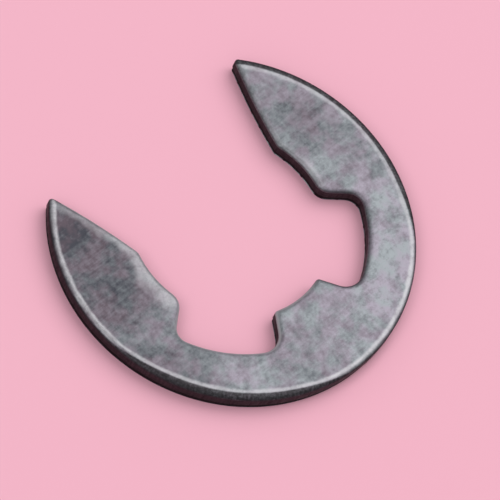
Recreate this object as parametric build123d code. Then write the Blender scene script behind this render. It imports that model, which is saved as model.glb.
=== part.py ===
from build123d import *
from math import acos, asin, atan2, cos, degrees, radians, sin
import os

# A retaining clip of the E kind: one flat piece of spring steel, blanked in one stroke of a press.
# It snaps sideways into the groove of a shaft, and its three lugs grip the bottom of that groove.
# Lengths are in millimetres and angles in degrees. The origin is on the shaft's axis, in the lower
# face of the clip. +Y points out of the mouth, and +Z out of the face with the rounded rim.

# Driving dimensions of the outline
GROOVE_DIAMETER = 12.0    # the circle round the origin that the three lugs grip
MOUTH_SNAP = 0.6          # how much narrower than the groove the mouth is, so that the clip holds
LUG_HEIGHT = 2.3          # from the groove out to the two pockets between the lugs
BOW_WIDTH = 3.02          # band left behind a pocket, at the back of the bow
BOW_OFFSET = 0.32         # the bow's centre lies this far behind the shaft's axis
TIP_ANGLE = 46.8          # where each arm ends on the bow, above the X direction
MOUTH_EDGE_CROWN = 0.12   # how far the edge between nose and tip swells into the mouth
SIDE_LUG_ANGLE = 17.6     # how far each side lug grips behind the X direction
SIDE_FLANK_SLOPE = 39.0   # slope of a side lug's flank against the X direction
BACK_LUG_WIDTH = 3.52     # gripping face of the lug opposite the mouth
BACK_FLANK_SLOPE = 56.0   # slope of that lug's flanks against the X direction

# Driving radii of the outline's corners
TIP_RADIUS = 0.22
NOSE_RADIUS = 0.5
SIDE_LUG_RADIUS = 0.7
SIDE_POCKET_RADIUS = 0.85
BACK_POCKET_RADIUS = 1.2
BACK_LUG_RADIUS = 0.22

# Driving dimensions of the blanked edge, which runs all round the outline
THICKNESS = 1.2
ROLL_RADIUS = 0.2         # the upper rim, pulled down into a round before the steel gives way
LAND_HEIGHT = 0.55        # the cleanly sheared band below it, square to the faces
BREAK_INSET = 0.06        # how far the torn band below the land leans in by the lower face
DEBURR_RADIUS = 0.04      # the lower rim, after tumbling

GROOVE_RADIUS = GROOVE_DIAMETER / 2
MOUTH_WIDTH = GROOVE_DIAMETER - MOUTH_SNAP
POCKET_RADIUS = GROOVE_RADIUS + LUG_HEIGHT
BOW_RADIUS = POCKET_RADIUS + BOW_WIDTH - BOW_OFFSET
BREAK_HEIGHT = THICKNESS - ROLL_RADIUS - LAND_HEIGHT
ORIGIN = Vector(0, 0)
BOW_CENTRE = Vector(0, -BOW_OFFSET)
BACK = -90                # the direction opposite the mouth


def on_circle(radius, angle, centre=ORIGIN):
    """The point of a circle at an angle counted from +X towards +Y."""
    return centre + Vector(radius * cos(radians(angle)), radius * sin(radians(angle)))


def circle_arc(radius, start_angle, end_angle, centre=ORIGIN):
    """The arc of a circle between two angles."""
    angles = (start_angle, (start_angle + end_angle) / 2, end_angle)
    return ThreePointArc(*(on_circle(radius, angle, centre) for angle in angles))


def pocket_angle(lug_corner, slope):
    """The angle at which a flank, falling from a lug's corner at a slope, meets the pocket's arc."""
    heading = Vector(cos(radians(slope)), -sin(radians(slope)))
    along = lug_corner.dot(heading)
    run = (along**2 + POCKET_RADIUS**2 - GROOVE_RADIUS**2) ** 0.5 - along
    meeting = lug_corner + heading * run
    return degrees(atan2(meeting.Y, meeting.X))


# Angles of the half outline on the +X side, and the corners that lie there
BACK_LUG_ANGLE = BACK + degrees(asin(BACK_LUG_WIDTH / 2 / GROOVE_RADIUS))
NOSE_ANGLE = degrees(acos(MOUTH_WIDTH / 2 / GROOVE_RADIUS))
BACK_LUG_CORNER = on_circle(GROOVE_RADIUS, BACK_LUG_ANGLE)
SIDE_LUG_CORNER = on_circle(GROOVE_RADIUS, -SIDE_LUG_ANGLE)
BACK_POCKET_ANGLE = pocket_angle(BACK_LUG_CORNER, BACK_FLANK_SLOPE)
SIDE_POCKET_ANGLE = pocket_angle(SIDE_LUG_CORNER, SIDE_FLANK_SLOPE)
BACK_POCKET_CORNER = on_circle(POCKET_RADIUS, BACK_POCKET_ANGLE)
SIDE_POCKET_CORNER = on_circle(POCKET_RADIUS, SIDE_POCKET_ANGLE)
NOSE = on_circle(GROOVE_RADIUS, NOSE_ANGLE)
TIP = on_circle(BOW_RADIUS, TIP_ANGLE, BOW_CENTRE)


def half_outline():
    """The +X half of the outline, from the middle of the back lug round to the back of the bow."""
    back_lug_face = circle_arc(GROOVE_RADIUS, BACK, BACK_LUG_ANGLE)
    back_lug_flank = Line(BACK_LUG_CORNER, BACK_POCKET_CORNER)
    pocket = circle_arc(POCKET_RADIUS, BACK_POCKET_ANGLE, SIDE_POCKET_ANGLE)
    side_lug_flank = Line(SIDE_POCKET_CORNER, SIDE_LUG_CORNER)
    side_lug_face = circle_arc(GROOVE_RADIUS, -SIDE_LUG_ANGLE, NOSE_ANGLE)
    mouth_edge = SagittaArc(NOSE, TIP, MOUTH_EDGE_CROWN)
    bow = circle_arc(BOW_RADIUS, TIP_ANGLE, BACK, BOW_CENTRE)
    lugs = back_lug_face + back_lug_flank + pocket + side_lug_flank + side_lug_face
    return lugs + mouth_edge + bow


def round_corner(outline, corner, radius):
    """Round a corner of the outline and its twin on the other arm."""
    for side in (1, -1):
        twin = Vector(side * corner.X, corner.Y)
        outline = fillet(outline.vertices().sort_by_distance(twin)[0], radius)
    return outline


def clip_outline():
    """The outline of the whole clip as a flat face, with every corner rounded."""
    half = half_outline()
    outline = make_face(half + mirror(half, about=Plane.YZ))
    outline = round_corner(outline, TIP, TIP_RADIUS)
    outline = round_corner(outline, NOSE, NOSE_RADIUS)
    outline = round_corner(outline, SIDE_LUG_CORNER, SIDE_LUG_RADIUS)
    outline = round_corner(outline, SIDE_POCKET_CORNER, SIDE_POCKET_RADIUS)
    outline = round_corner(outline, BACK_POCKET_CORNER, BACK_POCKET_RADIUS)
    return round_corner(outline, BACK_LUG_CORNER, BACK_LUG_RADIUS)


def blanked_clip():
    """The clip off the press: torn and leaning below, square in the middle, rolled round above."""
    sheared_outline = Pos(0, 0, BREAK_HEIGHT) * clip_outline()
    lower_outline = offset(clip_outline(), -BREAK_INSET)
    torn_band = loft([lower_outline, sheared_outline], ruled=True)
    clip = torn_band + extrude(sheared_outline, LAND_HEIGHT + ROLL_RADIUS)
    clip = fillet(clip.faces().sort_by(Axis.Z)[-1].edges(), ROLL_RADIUS)
    return fillet(clip.faces().sort_by(Axis.Z)[0].edges(), DEBURR_RADIUS)


os.makedirs("parts", exist_ok=True)
e_clip = blanked_clip()
e_clip.label = "e_clip"
export_step(e_clip, "parts/e_clip.step")
print("mouth width:", round(MOUTH_WIDTH, 2), "and width over the bow:", round(2 * BOW_RADIUS, 2))
print("volume in cubic millimetres:", round(e_clip.volume, 2))
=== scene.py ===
from math import ceil, cos, radians, sin, sqrt

import bmesh
import bpy
from mathutils import Matrix, Vector
from mathutils.geometry import intersect_line_sphere_2d, intersect_sphere_sphere_2d


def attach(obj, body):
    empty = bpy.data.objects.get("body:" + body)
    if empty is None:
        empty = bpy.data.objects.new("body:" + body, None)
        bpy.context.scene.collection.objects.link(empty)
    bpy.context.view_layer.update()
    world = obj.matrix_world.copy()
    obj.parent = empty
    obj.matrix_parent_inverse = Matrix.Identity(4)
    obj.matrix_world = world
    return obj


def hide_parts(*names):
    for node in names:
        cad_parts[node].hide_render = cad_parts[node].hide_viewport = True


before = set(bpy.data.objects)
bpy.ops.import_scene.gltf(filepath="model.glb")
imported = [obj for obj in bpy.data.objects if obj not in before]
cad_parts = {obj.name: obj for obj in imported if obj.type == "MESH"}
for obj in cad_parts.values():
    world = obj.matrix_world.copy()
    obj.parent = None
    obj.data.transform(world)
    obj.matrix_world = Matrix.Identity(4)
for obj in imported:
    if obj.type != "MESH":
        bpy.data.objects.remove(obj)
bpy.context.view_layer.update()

# The clip is one flat piece of hardened spring steel, blanked from strip in one stroke of a press:
# the punch rolls the upper rim down, shears a square land and tears the rest of the thickness away.
# It is tumbled and blackened all over. It is traced in millimetres and brought to metres at the end.
GROOVE_RADIUS = 6.0       # the three lugs grip this circle, round the shaft's axis
POCKET_RADIUS = 8.3       # the two pockets between the lugs reach out to this one
BOW_RADIUS = 10.993       # a hair inside the solid's bow of 22 mm
MOUTH_HALF_WIDTH = 5.7
MOUTH_EDGE_CROWN = 0.12   # how far the edge between nose and tip swells into the mouth
BACK_LUG_HALF_WIDTH = 1.76
BACK_FLANK_SLOPE = 56.0   # slopes and angles are in degrees against the line across the mouth
SIDE_LUG_ANGLE = 17.6
SIDE_FLANK_SLOPE = 39.0
TIP_ANGLE = 46.8
BACK_LUG_ROUND = 0.22     # radii of the outline's rounded corners, and of its filled hollow ones
BACK_POCKET_FILL = 1.2
SIDE_POCKET_FILL = 0.85
SIDE_LUG_ROUND = 1.0
NOSE_ROUND = 0.5
TIP_ROUND = 0.22
THICKNESS = 1.2
BREAK_HEIGHT = 0.45       # where the torn band below gives way to the sheared land
ROLL_HEIGHT = 1.0         # where the land gives way to the rolled rim
ROLL_WIDTH = 0.38
BREAK_LEAN = 0.06         # how far the torn band leans in by the lower face
DEBURRED = 0.04           # radius of the lower rim, worn round by the tumbling
TRACE_STEP = 0.13         # the longest step from one point of the outline to the next
TRACE_TURN = 9            # and the widest turn, in degrees
SHAFT_AXIS = Vector((0, 0))
BOW_CENTRE = Vector((0, -0.32))
MILLIMETRE = 0.001


def on_circle(centre, radius, angle):
    """The point of a circle at an angle in degrees, counted from the right hand side upwards."""
    return centre + Vector((cos(radians(angle)), sin(radians(angle)))) * radius


def shifted(line, into_steel):
    """A line of the outline moved sideways into the steel, or out of it where that is negative."""
    if "heading" in line:
        aside = Vector((line["heading"].y, -line["heading"].x))
        return {"point": line["point"] + aside * into_steel, "heading": line["heading"]}
    return {**line, "radius": line["radius"] + line["steel"] * into_steel}


def crossing(first, second, near):
    """Where two lines of the outline, one of them an arc, cross nearest to a point."""
    if "heading" in first:
        first, second = second, first
    if "heading" in second:
        ends = second["point"], second["point"] + second["heading"]
        found = intersect_line_sphere_2d(*ends, first["centre"], first["radius"], False)
    else:
        found = intersect_sphere_sphere_2d(
            first["centre"], first["radius"], second["centre"], second["radius"])
    return min(found, key=lambda point: (point - near).length)


def foot(line, point):
    """The point of a line of the outline that lies nearest to a point beside it."""
    if "heading" in line:
        return line["point"] + line["heading"] * (point - line["point"]).dot(line["heading"])
    return line["centre"] + (point - line["centre"]).normalized() * line["radius"]


def rounded(before, after, corner, radius):
    """Start, centre and end of the arc that rounds a corner, or fills a hollow one if negative."""
    centre = crossing(shifted(before, radius), shifted(after, radius), corner)
    return foot(before, centre), centre, foot(after, centre)


back_lug_corner = Vector((BACK_LUG_HALF_WIDTH, -sqrt(GROOVE_RADIUS**2 - BACK_LUG_HALF_WIDTH**2)))
side_lug_corner = on_circle(SHAFT_AXIS, GROOVE_RADIUS, -SIDE_LUG_ANGLE)
nose = Vector((MOUTH_HALF_WIDTH, sqrt(GROOVE_RADIUS**2 - MOUTH_HALF_WIDTH**2)))
tip = on_circle(BOW_CENTRE, BOW_RADIUS, TIP_ANGLE)
chord = tip - nose
mouth_edge_radius = chord.length**2 / (8 * MOUTH_EDGE_CROWN) + MOUTH_EDGE_CROWN / 2
into_arm = Vector((chord.y, -chord.x)).normalized()
mouth_edge_centre = (nose + tip) / 2 + into_arm * (mouth_edge_radius - MOUTH_EDGE_CROWN)

# Lines of the right hand half. An arc's steel lies outside it where "steel" is 1, and inside it for -1
lug_circle = {"centre": SHAFT_AXIS, "radius": GROOVE_RADIUS, "steel": 1}
pocket_circle = {"centre": SHAFT_AXIS, "radius": POCKET_RADIUS, "steel": 1}
mouth_edge = {"centre": mouth_edge_centre, "radius": mouth_edge_radius, "steel": -1}
bow = {"centre": BOW_CENTRE, "radius": BOW_RADIUS, "steel": -1}
back_flank = {"point": back_lug_corner, "heading": on_circle(SHAFT_AXIS, 1, -BACK_FLANK_SLOPE)}
side_flank = {"point": side_lug_corner, "heading": -on_circle(SHAFT_AXIS, 1, -SIDE_FLANK_SLOPE)}
back_pocket_corner = crossing(back_flank, pocket_circle, back_lug_corner)
side_pocket_corner = crossing(side_flank, pocket_circle, side_lug_corner)

# Each corner of that half, as it comes on the way from the back lug to the back of the bow, with the
# centre of the arc that leads up to it
corners = [
    (rounded(lug_circle, back_flank, back_lug_corner, BACK_LUG_ROUND), SHAFT_AXIS),
    (rounded(back_flank, pocket_circle, back_pocket_corner, -BACK_POCKET_FILL), None),
    (rounded(pocket_circle, side_flank, side_pocket_corner, -SIDE_POCKET_FILL), SHAFT_AXIS),
    (rounded(side_flank, lug_circle, side_lug_corner, SIDE_LUG_ROUND), None),
    (rounded(lug_circle, mouth_edge, nose, NOSE_ROUND), SHAFT_AXIS),
    (rounded(mouth_edge, bow, tip, TIP_ROUND), mouth_edge_centre),
]

bpy.ops.object.select_all(action="DESELECT")
bpy.ops.mesh.primitive_plane_add(size=1, location=(0, 0, 0))
clip = bpy.context.object
clip.name = clip.data.name = "e_clip_steel"
bpy.ops.object.mode_set(mode="EDIT")
bpy.ops.mesh.select_mode(type="VERT")
bpy.ops.mesh.merge(type="CENTER")
pen = Vector((0, -GROOVE_RADIUS))
bpy.ops.transform.translate(value=(pen.x, pen.y, BREAK_HEIGHT))


def trace(end, centre=None):
    """Carries the outline on from the last point to an end, straight, or round a centre."""
    global pen
    if centre is None:
        steps = ceil((end - pen).length / TRACE_STEP)
        stride = (end - pen) / steps
        for _ in range(steps):
            bpy.ops.mesh.extrude_region_move(TRANSFORM_OT_translate={"value": (*stride, 0)})
    else:
        turn = (end - centre).angle_signed(pen - centre)
        length = abs(turn) * (end - centre).length
        steps = ceil(max(length / TRACE_STEP, abs(turn) / radians(TRACE_TURN)))
        bpy.ops.mesh.spin(steps=steps, angle=-turn, center=(*centre, BREAK_HEIGHT), axis=(0, 0, 1))
    pen = end


for (start, centre, end), centre_before in corners:
    trace(start, centre_before)
    trace(end, centre)
trace(BOW_CENTRE - Vector((0, BOW_RADIUS)), BOW_CENTRE)


def pick(kind, wanted):
    """Selects, in edit mode, the vertices or faces that a test of their place and normal wants."""
    bpy.ops.mesh.select_mode(type=kind)
    bpy.ops.mesh.select_all(action="DESELECT")
    steel = bmesh.from_edit_mesh(clip.data)
    parts = steel.verts if kind == "VERT" else steel.faces
    for part in parts:
        place = part.co if kind == "VERT" else part.calc_center_median()
        part.select_set(wanted(place, part.normal))
    bmesh.update_edit_mesh(clip.data)


# The tightest rounded corners, whose points run together as the rim rolls in over them. The points
# beside them are thinned out, to leave room for that
THIN_FROM, THIN_TO = 0.23, 0.6    # distances from the rounding's centre
sharpest = [Vector((side * centre.x, centre.y)) for side in (1, -1)
            for centre in (corners[0][0][1], corners[5][0][1])]
pick("VERT", lambda place, normal: any(
    THIN_FROM < (place.xy - centre).length < THIN_TO for centre in sharpest))
bpy.ops.mesh.dissolve_verts()

# The other half is its mirror image, and the closed outline is filled and drawn up to the land's top
bpy.ops.object.mode_set(mode="OBJECT")
bpy.ops.object.modifier_add(type="MIRROR")
bpy.ops.object.modifier_apply(modifier="Mirror")
bpy.ops.object.mode_set(mode="EDIT")
bpy.ops.mesh.select_all(action="SELECT")
bpy.ops.mesh.edge_face_add()
bpy.ops.mesh.select_mode(type="FACE")
bpy.ops.mesh.extrude_region_move(
    TRANSFORM_OT_translate={"value": (0, 0, ROLL_HEIGHT - BREAK_HEIGHT)})
bpy.ops.mesh.select_all(action="SELECT")
bpy.ops.mesh.normals_make_consistent(inside=False)

GATHER_REACH = 0.08       # how close to the rounding's centre the points of a corner have come
SAME_LEVEL = 0.0001       # points no further apart in height than this lie on one level


def gather_corners(level):
    """Brings the points of each of those corners together, at the level of one ring of the rim."""
    for corner in sharpest:
        pick("VERT", lambda place, normal: abs(place.z - level) < SAME_LEVEL
             and (place.xy - corner).length < GATHER_REACH)
        bpy.ops.mesh.merge(type="CENTER")


# The rolled rim: a quarter of an ellipse from the land to the upper face, with a flat border inside
ROLL_STEPS = 9
GATHER_FROM = 0.16        # how far the rim has rolled in when the tightest corners run together
BORDER = 0.05
pick("FACE", lambda place, normal: normal.z > 0.9)
for step in range(ROLL_STEPS):
    low, high = (radians(90 * s / ROLL_STEPS) for s in (step, step + 1))
    bpy.ops.mesh.inset(thickness=ROLL_WIDTH * (cos(low) - cos(high)),
                       depth=(THICKNESS - ROLL_HEIGHT) * (sin(high) - sin(low)))
    if ROLL_WIDTH * (1 - cos(high)) > GATHER_FROM:
        level = ROLL_HEIGHT + (THICKNESS - ROLL_HEIGHT) * sin(high)
        gather_corners(level)
        pick("FACE", lambda place, normal: normal.z > 0.9 and place.z > level - SAME_LEVEL)
bpy.ops.mesh.inset(thickness=BORDER, depth=0)

# The torn band leans in towards the lower face, whose rim is worn round by the tumbling
TORN_ROWS = 7
TORN_ROW = (BREAK_HEIGHT - DEBURRED) / TORN_ROWS
pick("FACE", lambda place, normal: normal.z < -0.9)
for _ in range(TORN_ROWS):
    bpy.ops.mesh.inset(thickness=BREAK_LEAN / TORN_ROWS, depth=TORN_ROW)
for low, high in ((0, 30), (30, 60), (60, 90)):
    bpy.ops.mesh.inset(thickness=DEBURRED * (cos(radians(low)) - cos(radians(high))),
                       depth=DEBURRED * (sin(radians(high)) - sin(radians(low))))
bpy.ops.mesh.inset(thickness=BORDER, depth=0)


def group_points(name, wanted):
    """Gives the points that a test of their place and normal wants to a group of that name."""
    pick("VERT", wanted)
    clip.vertex_groups.active = clip.vertex_groups.new(name=name)
    bpy.ops.object.vertex_group_assign()


def roughen(group, direction, noise_size, depth, rest_level):
    """Moves a group's points by a cloudy noise of a given size, and makes it part of the mesh."""
    noise = bpy.data.textures.new(group + "_noise", "CLOUDS")
    noise.noise_scale = noise_size
    noise.noise_depth = 3
    bpy.ops.object.modifier_add(type="DISPLACE")
    displace = clip.modifiers[-1]
    displace.texture = noise
    displace.vertex_group = group
    displace.direction = direction
    displace.strength = depth
    displace.mid_level = rest_level
    bpy.ops.object.modifier_apply(modifier=displace.name)


# The line where the shear gives way wanders, and below it the torn steel is pitted inwards
group_points("break_line", lambda place, normal: abs(place.z - BREAK_HEIGHT) < 1.5 * TORN_ROW)
group_points("torn_band", lambda place, normal:
             0.9 * DEBURRED < place.z < BREAK_HEIGHT - 0.5 * TORN_ROW)
bpy.ops.object.mode_set(mode="OBJECT")
roughen("break_line", direction="Z", noise_size=0.9, depth=0.13, rest_level=0.5)
roughen("torn_band", direction="NORMAL", noise_size=0.22, depth=0.06, rest_level=1.0)

bpy.ops.object.mode_set(mode="EDIT")
bpy.ops.mesh.select_all(action="SELECT")
bpy.ops.transform.resize(value=(MILLIMETRE, MILLIMETRE, MILLIMETRE), center_override=(0, 0, 0))
bpy.ops.object.mode_set(mode="OBJECT")
bpy.ops.object.shade_smooth_by_angle(angle=radians(35))


def feed(tree, socket, value):
    """Links another node's output to a socket, or sets the socket to a plain value."""
    if isinstance(value, bpy.types.NodeSocket):
        tree.links.new(value, socket)
    else:
        socket.default_value = value


def node(tree, kind, name, inputs, **fields):
    """The outputs of a new node, named, with its fields set and its inputs fed."""
    made = tree.nodes.new("ShaderNode" + kind)
    made.name = made.label = name
    for field, value in fields.items():
        setattr(made, field, value)
    for key, value in inputs.items():
        feed(tree, made.inputs[key], value)
    return made.outputs


def figure(tree, operation, first, second=0.0):
    """The result of one sum on two values."""
    return node(tree, "Math", operation.lower(), {0: first, 1: second}, operation=operation)[0]


def total(tree, first, *others):
    """Several values added up."""
    for other in others:
        first = figure(tree, "ADD", first, other)
    return first


def product(tree, first, *others):
    """Several values multiplied."""
    for other in others:
        first = figure(tree, "MULTIPLY", first, other)
    return first


def ramp(tree, value, low, high, low_result=0.0, high_result=1.0):
    """Runs softly from one result to the other while a value goes from low to high."""
    return node(tree, "MapRange", "soft_ramp", {
        "Value": value, "From Min": low, "From Max": high, "To Min": low_result,
        "To Max": high_result}, interpolation_type="SMOOTHSTEP")["Result"]


def cloud(tree, place, size, detail=3.0, roughness=0.55):
    """A noise about 0.5 whose lumps measure about a size in millimetres."""
    return node(tree, "TexNoise", "cloud", {
        "Vector": place, "Scale": figure(tree, "DIVIDE", 0.5, size), "Detail": detail,
        "Roughness": roughness})["Fac"]


def sway(tree, place, size, reach=1.0, detail=3.0):
    """A noise about zero, never more than half its reach above or below it."""
    about_zero = figure(tree, "SUBTRACT", cloud(tree, place, size, detail), 0.5)
    return product(tree, about_zero, reach)


def tinted(tree, share, first, second):
    """A colour that goes from the first to the second as the share goes from 0 to 1."""
    return node(tree, "Mix", "tint", {0: share, 6: first, 7: second}, data_type="RGBA")[2]


# The blackening bath took unevenly: blotches over a fine crystalline grain, on faces and edges alike
blackening = bpy.data.node_groups.new("blackening", "ShaderNodeTree")
for way, kind, name in (("INPUT", "Vector", "Place"), ("INPUT", "Float", "Blotch Size"),
                        ("INPUT", "Float", "Grain Size"), ("OUTPUT", "Float", "Blotches"),
                        ("OUTPUT", "Float", "Grain")):
    blackening.interface.new_socket(name, in_out=way, socket_type="NodeSocket" + kind)
given = blackening.nodes.new("NodeGroupInput").outputs
result = blackening.nodes.new("NodeGroupOutput").inputs
blotches = cloud(blackening, given["Place"], given["Blotch Size"], detail=4.0, roughness=0.6)
blackening.links.new(ramp(blackening, blotches, 0.3, 0.7), result["Blotches"])
grain = cloud(blackening, given["Place"], given["Grain Size"], roughness=0.65)
blackening.links.new(grain, result["Grain"])


def blackened_steel(name, metallic, blotch_size, grain_size):
    """A new steel with its tree, its shader, its place in millimetres, and blotches and grain."""
    steel = bpy.data.materials.new(name)
    steel.use_nodes = True
    tree = steel.node_tree
    shader = tree.nodes["Principled BSDF"].inputs
    shader["Metallic"].default_value = metallic
    shader["Specular Tint"].default_value = (0.6, 0.6, 0.6, 1)
    metres = node(tree, "TexCoord", "object_place", {})["Object"]
    place = node(tree, "Mapping", "millimetres", {
        "Vector": metres, "Scale": (1 / MILLIMETRE, 1 / MILLIMETRE, 1 / MILLIMETRE)})[0]
    bath = node(tree, "Group", "bath", {
        "Place": place, "Blotch Size": blotch_size, "Grain Size": grain_size},
        node_tree=blackening)
    return steel, tree, shader, place, bath


def relief(tree, shader, height, depth):
    """Gives the steel a fine relief of a depth in millimetres."""
    bump = node(tree, "Bump", "relief", {
        "Strength": 1.0, "Distance": depth * MILLIMETRE, "Height": height})
    tree.links.new(bump[0], shader["Normal"])


def distance(tree, place, centre):
    """How far a place is from a point of the upper face."""
    return node(tree, "VectorMath", "distance", {0: place, 1: (*centre, THICKNESS)},
                operation="DISTANCE")["Value"]


# The faces: smooth from the strip mill and mottled, with painted shade darkest on the left arm and
# painted sheen lightest on the bow
FACE_DARK = (0.046, 0.047, 0.058, 1)
FACE_RUSSET = (0.088, 0.068, 0.082, 1)
FACE_GREENISH = (0.266, 0.288, 0.302, 1)
FACE_PURPLISH = (0.296, 0.268, 0.314, 1)
# The light rubbed colour below is partly bare steel and partly painted highlight
RUBBED_AND_HIGHLIGHT = (0.43, 0.42, 0.44, 1)
# The near-black of the rolled rims below is painted shade
ROLL_PAINTED_SHADE = (0.030, 0.027, 0.030, 1)
FACE_TONE = 0.66          # how light the face is between its dark and its light oxide
# The patches are painted shade where they darken and painted sheen where they lighten, laid over the
# mottled oxide
SHADE_AND_SHEEN_PATCHES = (               # how much darker or lighter, round which point, full to and gone from there
    (-0.50, (-9.3, 2.8), 2.4, 7.0),
    (-0.24, (-8.2, 6.0), 0.8, 3.0),
    (-0.32, (-9.8, -4.8), 1.5, 4.2),
    (-0.13, (-2.8, -9.2), 0.3, 3.4),
    (0.26, (5.6, -8.6), 0.8, 4.2),
    (0.14, (7.2, -5.2), 1.0, 3.4),
    (-0.12, (9.6, -0.8), 0.6, 3.2),
    (-0.23, (7.8, 1.4), 0.6, 3.0),
    (-0.15, (8.4, 3.1), 0.5, 2.6),
    (-0.12, (8.2, 6.0), 0.6, 2.4),
)
face_steel, tree, shader, place, bath = blackened_steel(
    "blackened_face", metallic=0.8, blotch_size=0.38, grain_size=0.08)
side, along, height = node(tree, "SeparateXYZ", "side_along_height", {0: place})
drift = sway(tree, place, 2.2, reach=3.0)
tone = FACE_TONE
for change, centre, full_to, gone_at in SHADE_AND_SHEEN_PATCHES:
    from_patch = total(tree, distance(tree, place, centre), drift)
    tone = total(tree, tone, ramp(tree, from_patch, full_to, gone_at, change, 0.0))
mottling = total(tree, 0.15, product(tree, bath["Blotches"], 0.6), product(tree, bath["Grain"], 1.1))
specks = sway(tree, place, 0.2, reach=0.8, detail=2.0)
rolled_way = node(tree, "Mapping", "rolled_way", {
    "Vector": place, "Rotation": (0, 0, 0.6), "Scale": (0.05, 1, 1)})[0]
mill_lines = sway(tree, rolled_way, 0.05, detail=2.0)
tone = total(tree, product(tree, tone, mottling), specks, product(tree, mill_lines, 0.3))
hue = ramp(tree, cloud(tree, place, 0.65), 0.37, 0.63)
dark_oxide = tinted(tree, hue, FACE_DARK, FACE_RUSSET)
light_oxide = tinted(tree, hue, FACE_GREENISH, FACE_PURPLISH)
oxide_and_painted_shade = tinted(tree, tone, dark_oxide, light_oxide)

# Painted shade on the roll round the bow, darkest in a strip that is wider far right and near left
STRIP_FAR_RIGHT = 0.32    # how much wider it is far right
STRIP_NEAR_LEFT = 0.36    # and near left
from_rim = figure(tree, "SUBTRACT", BOW_RADIUS, distance(tree, place, BOW_CENTRE))
far_right = ramp(tree, total(tree, side, product(tree, along, 0.8)), 1.0, 7.0)
near_left = ramp(tree, total(tree, side, along), -11.8, -15.0)
strip = total(tree, product(tree, far_right, STRIP_FAR_RIGHT), product(tree, near_left, STRIP_NEAR_LEFT))
bow_roll_shade = ramp(tree, figure(tree, "SUBTRACT", from_rim, strip), 0.123, 0.008)

# Inside the strip the steel is lighter in a ring, and along the mouth in a ragged band that is widest on
# the left arm: partly rubbed bare, partly a painted highlight of the rolled rim
RING_INSET = 0.273        # from the bow's rim to the middle of the ring
RING_HALF_WIDTH = 0.22
ragged = sway(tree, place, 0.6)
from_ring = figure(tree, "SUBTRACT", from_rim, total(tree, RING_INSET, product(tree, strip, 0.7)))
from_ring = total(tree, figure(tree, "ABSOLUTE", from_ring), product(tree, ragged, 0.3))
ring = ramp(tree, from_ring, 0.02, RING_HALF_WIDTH, 0.88, 0.0)
ring = product(tree, ring, ramp(tree, near_left, 0.0, 1.0, 1.0, 0.75))
ring = product(tree, ring, ramp(tree, far_right, 0.0, 1.0, 1.0, 0.6))
from_mouth = total(tree, product(tree, figure(tree, "ABSOLUTE", side), into_arm.x),
                   product(tree, along, into_arm.y), -nose.dot(into_arm))
flat_place = node(tree, "VectorMath", "flat", {0: place, 1: (1, 1, 0)}, operation="MULTIPLY")[0]
from_axis = node(tree, "VectorMath", "from_axis", {0: flat_place}, operation="LENGTH")["Value"]
from_inner_edge = figure(tree, "MINIMUM", from_mouth,
                         figure(tree, "SUBTRACT", from_axis, GROOVE_RADIUS))
band_width = product(tree, ramp(tree, along, 0.0, 3.3, 1.1, 0.5), ramp(tree, side, -1.0, 1.0, 1.0, 0.45))
across_band = total(tree, figure(tree, "DIVIDE", from_inner_edge, band_width), ragged)
band = ramp(tree, across_band, 0.3, 1.3, ramp(tree, side, -1.0, 1.0, 0.6, 0.32), 0.0)
band = product(tree, band, ramp(tree, along, -2.3, -1.6), ramp(tree, along, 2.5, 5.0, 1.0, 0.6))
patchy = total(tree, 0.15, product(tree, bath["Blotches"], 0.4), product(tree, bath["Grain"], 1.1))
rub_and_highlight = product(tree, figure(tree, "MAXIMUM", ring, band), patchy)

# The roll inside the bow is made light and matt at the back and on the left, and dark on the right,
# where the dark is painted shade
lug_roll = product(tree, ramp(tree, height, ROLL_HEIGHT - 0.07, ROLL_HEIGHT - 0.02),
                   ramp(tree, height, THICKNESS - 0.1, THICKNESS - 0.015, 1.0, 0.0))
lighter_roll = product(tree, lug_roll, ramp(tree, side, 0.5, 3.0, 0.95, 0.0),
                    ramp(tree, from_rim, 0.593, 0.793))
right_roll_shade = product(tree, lug_roll, ramp(tree, side, 0.5, 3.0, 0.0, 0.65))
# Painted shade on the rolls, round the bow and on the right, darkens the colour last
rolled_shade = product(tree, figure(tree, "MAXIMUM", bow_roll_shade, right_roll_shade),
                 ramp(tree, bath["Grain"], 0.35, 0.75, 1.0, 0.7))
worn_and_highlit = tinted(tree, figure(tree, "MAXIMUM", rub_and_highlight, lighter_roll), oxide_and_painted_shade, RUBBED_AND_HIGHLIGHT)
tree.links.new(tinted(tree, rolled_shade, worn_and_highlit, ROLL_PAINTED_SHADE), shader["Base Color"])
roughness = total(tree, 0.36, product(tree, bath["Grain"], 0.14), product(tree, lighter_roll, 0.3))
tree.links.new(roughness, shader["Roughness"])
waves = total(tree, bath["Grain"], product(tree, bath["Blotches"], 1.5), mill_lines)
relief(tree, shader, waves, depth=0.006)

# The cut edge: upright streaks from the punch on the sheared land, dark crystalline steel torn below
EDGE_DARK = (0.020, 0.018, 0.020, 1)
EDGE_TORN = (0.046, 0.039, 0.043, 1)
EDGE_LIGHT = (0.088, 0.074, 0.081, 1)
edge_steel, tree, shader, place, bath = blackened_steel(
    "blackened_cut_edge", metallic=1.0, blotch_size=0.7, grain_size=0.05)
height = node(tree, "SeparateXYZ", "height", {0: place})["Z"]
wandering = total(tree, height, sway(tree, place, 0.35, reach=0.2))
land = ramp(tree, wandering, BREAK_HEIGHT - 0.02, BREAK_HEIGHT + 0.04)
upright = node(tree, "Mapping", "upright", {"Vector": place, "Scale": (1, 1, 0.04)})[0]
streaks = cloud(tree, upright, 0.06, detail=2.0)
burnish = product(tree, land, ramp(tree, streaks, 0.25, 0.8, 0.15, 0.85),
                  ramp(tree, height, ROLL_HEIGHT - 0.15, ROLL_HEIGHT, 1.0, 0.3),
                  ramp(tree, bath["Blotches"], 0.0, 1.0, 0.65, 1.15))
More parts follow.
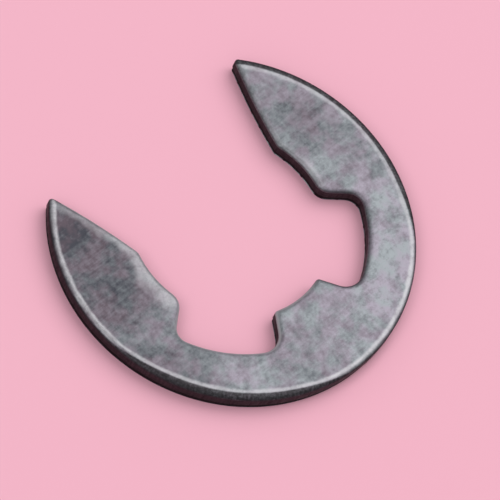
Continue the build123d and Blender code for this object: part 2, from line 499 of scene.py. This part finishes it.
torn = tinted(tree, ramp(tree, bath["Grain"], 0.4, 0.62), EDGE_DARK, EDGE_TORN)
tree.links.new(tinted(tree, burnish, torn, EDGE_LIGHT), shader["Base Color"])
roughness = figure(tree, "SUBTRACT", 0.62, product(tree, land, 0.22))
tree.links.new(roughness, shader["Roughness"])
relief(tree, shader, total(tree, product(tree, land, streaks), bath["Grain"]), depth=0.012)

for steel in (face_steel, edge_steel):
    clip.data.materials.append(steel)
for face in clip.data.polygons:
    face_height = face.center.z / MILLIMETRE
    cut = DEBURRED < face_height < ROLL_HEIGHT
    leaning = face_height < ROLL_HEIGHT and abs(face.normal.z) < 0.6
    face.material_index = int(cut or leaning)
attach(clip, "root")
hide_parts("e_clip")

# The surface that the clip lies on: one plain pale pink sheet, matt, wide enough to fill the view
FLOOR_PINK = (0.913, 0.464, 0.571, 1)
FLOOR_SIZE = 3.0
FLOOR_GAP = 0.00001       # keeps the sheet clear of the clip's lower face
bpy.ops.object.select_all(action="DESELECT")
bpy.ops.mesh.primitive_plane_add(size=FLOOR_SIZE, location=(0, 0, -FLOOR_GAP))
floor = bpy.context.object
floor.name = "pale_floor"
paper = bpy.data.materials.new("matt_pink_paper")
paper.use_nodes = True
sheet = paper.node_tree.nodes["Principled BSDF"].inputs
sheet["Base Color"].default_value = FLOOR_PINK
sheet["Roughness"].default_value = 0.85
sheet["Specular IOR Level"].default_value = 0.2
floor.data.materials.append(paper)

# The light: a pale room, a wide soft box beyond the clip and a smaller one on its other side
ROOM = (0.45, 0.455, 0.465, 1)
SOFT_BOXES = (            # name, place, width and power
    ("far_soft_box", (0.330, 0.0, 0.500), 0.6, 2.05),
    ("near_soft_box", (-0.350, 0.080, 0.480), 0.3, 0.85),
)
room = bpy.data.worlds.new("pale_room")
room.use_nodes = True
room.node_tree.nodes["Background"].inputs["Color"].default_value = ROOM
bpy.context.scene.world = room
for name, place, width, power in SOFT_BOXES:
    bpy.ops.object.light_add(type="AREA", location=place)
    soft_box = bpy.context.object
    soft_box.name = name
    soft_box.rotation_euler = Vector(place).to_track_quat("Z", "Y").to_euler()
    soft_box.data.shape = "SQUARE"
    soft_box.data.size = width
    soft_box.data.energy = power

# The camera looks down on the clip as in the photograph, from 34 cm off, through a long lens
CAMERA_SIDE = Vector((-0.4596, -0.1615, 0.8733)).normalized()    # from the clip towards the camera
CAMERA_DISTANCE = 0.3365
CAMERA_ROLL = 30.45       # leans the picture as the photograph leans the clip, in degrees
LENS = 418                # focal length in millimetres
AIM = Vector((0, -0.0019, 0.0006))
bpy.ops.object.camera_add(location=AIM + CAMERA_SIDE * CAMERA_DISTANCE)
camera = bpy.context.object
facing = CAMERA_SIDE.to_track_quat("Z", "Y").to_matrix()
camera.rotation_euler = (facing @ Matrix.Rotation(radians(CAMERA_ROLL), 3, "Z")).to_euler()
camera.data.lens = LENS
bpy.context.scene.camera = camera
bpy.context.scene.view_settings.view_transform = "Standard"
